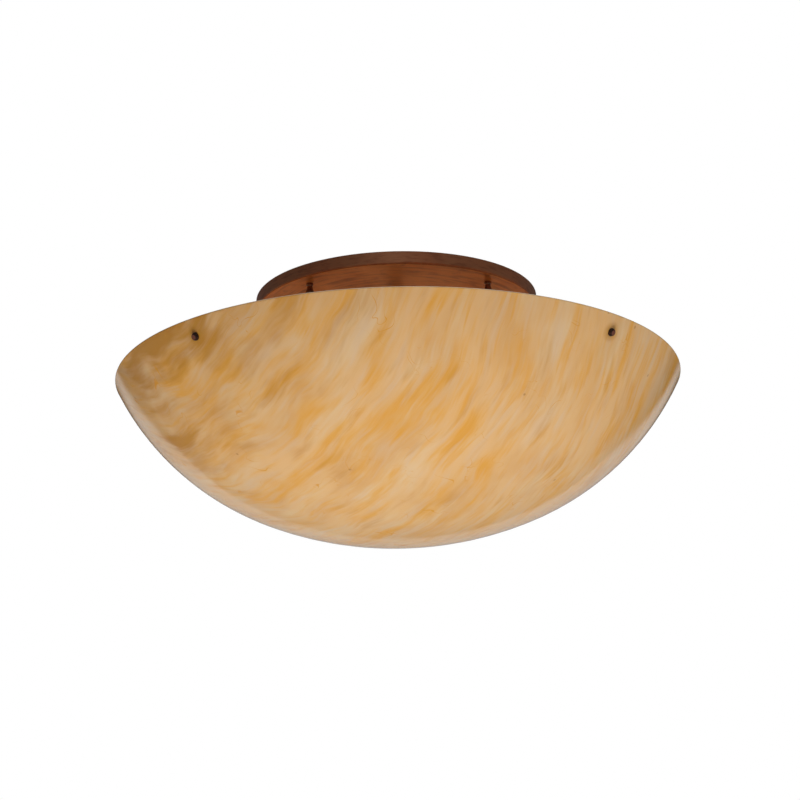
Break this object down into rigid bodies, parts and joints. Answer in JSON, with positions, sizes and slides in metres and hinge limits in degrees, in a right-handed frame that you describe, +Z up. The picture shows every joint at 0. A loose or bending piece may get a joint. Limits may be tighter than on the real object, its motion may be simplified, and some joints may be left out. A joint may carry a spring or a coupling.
{
  "type": "semi flush ceiling light",
  "caption": "Round ceiling light with a shallow metal plate, four hanging rods and a frame of flat arms that carries a wide slumped glass bowl around a cluster of lamps.",
  "frame": {"origin": "centre of the strap's top face, in the plane of the ceiling; the light hangs below it", "axes": "+Z up along the stem, out of the ceiling mount; the pictured side faces -Y; the four arms run along the diagonals of X and Y"},
  "size_m": [0.6078, 0.6078, 0.266],
  "materials": {
    "plate_finish": "antique copper finish on spun steel, satin, mottled",
    "bronze_trim": "dark oiled bronze on turned steel, satin",
    "frame_paint": "dark bronze powder coat",
    "zinc_steel": "zinc plated",
    "ground_green": "green dyed steel",
    "art_glass": "streaky opalescent glass, cream and amber, glossy",
    "frosted_glass": "inside frosted",
    "black_phenolic": "moulded phenolic, semi gloss",
    "porcelain": "white glazed",
    "brass": "plain, thin rolled",
    "black_plastic": "moulded",
    "nylon": "natural nylon",
    "fibre": "vulcanised fibre",
    "pad_rubber": "moulded"
  },
  "bodies": {
    "fixture": {"ceiling_plate": "plate_finish", "clinch_nuts": "zinc_steel", "cluster_cup": "frame_paint", "cluster_lid": "frame_paint", "frame_arm_1": "frame_paint", "frame_arm_2": "frame_paint", "frame_arm_3": "frame_paint", "frame_arm_4": "frame_paint", "frame_hub_plate": "frame_paint", "frame_rivets": "frame_paint", "glass_bowl": "art_glass", "ground_screw": "ground_green", "hanger_rods": "zinc_steel", "lead_bushing": "black_plastic", "mounting_strap": "zinc_steel", "plate_screws": "zinc_steel", "rim_bushings": "nylon", "rim_pads": "pad_rubber", "rim_washers": "fibre", "rod_cap_nuts": "bronze_trim", "rod_collar_1": "bronze_trim", "rod_collar_2": "bronze_trim", "rod_collar_3": "bronze_trim", "rod_collar_4": "bronze_trim", "rod_sleeve_1": "bronze_trim", "rod_sleeve_2": "bronze_trim", "rod_sleeve_3": "bronze_trim", "rod_sleeve_4": "bronze_trim", "rod_top_nuts": "zinc_steel", "screw_shell_1": "brass", "screw_shell_2": "brass", "screw_shell_3": "brass", "screw_shell_4": "brass", "socket_contacts": "brass", "socket_cores": "porcelain", "socket_nipples": "zinc_steel", "socket_shell_1": "black_phenolic", "socket_shell_2": "black_phenolic", "socket_shell_3": "black_phenolic", "socket_shell_4": "black_phenolic", "stem_nuts": "zinc_steel", "stem_pipe": "zinc_steel", "stem_ring": "bronze_trim", "stem_sleeve": "bronze_trim"},
    "rim_screw_1": {"rim_screw_1": "bronze_trim"},
    "rim_screw_2": {"rim_screw_2": "bronze_trim"},
    "rim_screw_3": {"rim_screw_3": "bronze_trim"},
    "rim_screw_4": {"rim_screw_4": "bronze_trim"},
    "bulb_1": {"bulb_base_1": "brass", "bulb_globe_1": "frosted_glass"},
    "bulb_2": {"bulb_base_2": "brass", "bulb_globe_2": "frosted_glass"},
    "bulb_3": {"bulb_base_3": "brass", "bulb_globe_3": "frosted_glass"},
    "bulb_4": {"bulb_base_4": "brass", "bulb_globe_4": "frosted_glass"},
    "plate_nut_1": {"plate_cap_nut_1": "bronze_trim"},
    "plate_nut_2": {"plate_cap_nut_2": "bronze_trim"},
    "finial": {"stem_finial": "bronze_trim"}
  },
  "joints": [
    {"name": "rim_screw_turn_1", "type": "hinge", "parent": "fixture", "child": "rim_screw_1", "pos_m": [0.20908, 0.20908, -0.1107], "axis": [0.6133, 0.6133, -0.4977], "continuous": true},
    {"name": "rim_screw_turn_2", "type": "hinge", "parent": "fixture", "child": "rim_screw_2", "pos_m": [-0.20908, 0.20908, -0.1107], "axis": [-0.6133, 0.6133, -0.4977], "continuous": true},
    {"name": "rim_screw_turn_3", "type": "hinge", "parent": "fixture", "child": "rim_screw_3", "pos_m": [-0.20908, -0.20908, -0.1107], "axis": [-0.6133, -0.6133, -0.4977], "continuous": true},
    {"name": "rim_screw_turn_4", "type": "hinge", "parent": "fixture", "child": "rim_screw_4", "pos_m": [0.20908, -0.20908, -0.1107], "axis": [0.6133, -0.6133, -0.4977], "continuous": true},
    {"name": "bulb_turn_1", "type": "hinge", "parent": "fixture", "child": "bulb_1", "pos_m": [0.02931, 0, -0.14675], "axis": [0.9659, 0, -0.2588], "continuous": true},
    {"name": "bulb_turn_2", "type": "hinge", "parent": "fixture", "child": "bulb_2", "pos_m": [0, 0.02931, -0.14675], "axis": [0, 0.9659, -0.2588], "continuous": true},
    {"name": "bulb_turn_3", "type": "hinge", "parent": "fixture", "child": "bulb_3", "pos_m": [-0.02931, 0, -0.14675], "axis": [-0.9659, 0, -0.2588], "continuous": true},
    {"name": "bulb_turn_4", "type": "hinge", "parent": "fixture", "child": "bulb_4", "pos_m": [0, -0.02931, -0.14675], "axis": [0, -0.9659, -0.2588], "continuous": true},
    {"name": "plate_nut_turn_1", "type": "hinge", "parent": "fixture", "child": "plate_nut_1", "pos_m": [-0.024, 0, -0.018], "axis": [0, 0, 1], "continuous": true},
    {"name": "plate_nut_turn_2", "type": "hinge", "parent": "fixture", "child": "plate_nut_2", "pos_m": [0.024, 0, -0.018], "axis": [0, 0, 1], "continuous": true},
    {"name": "finial_turn", "type": "hinge", "parent": "fixture", "child": "finial", "pos_m": [0, 0, -0.168], "axis": [0, 0, 1], "continuous": true}
  ]
}
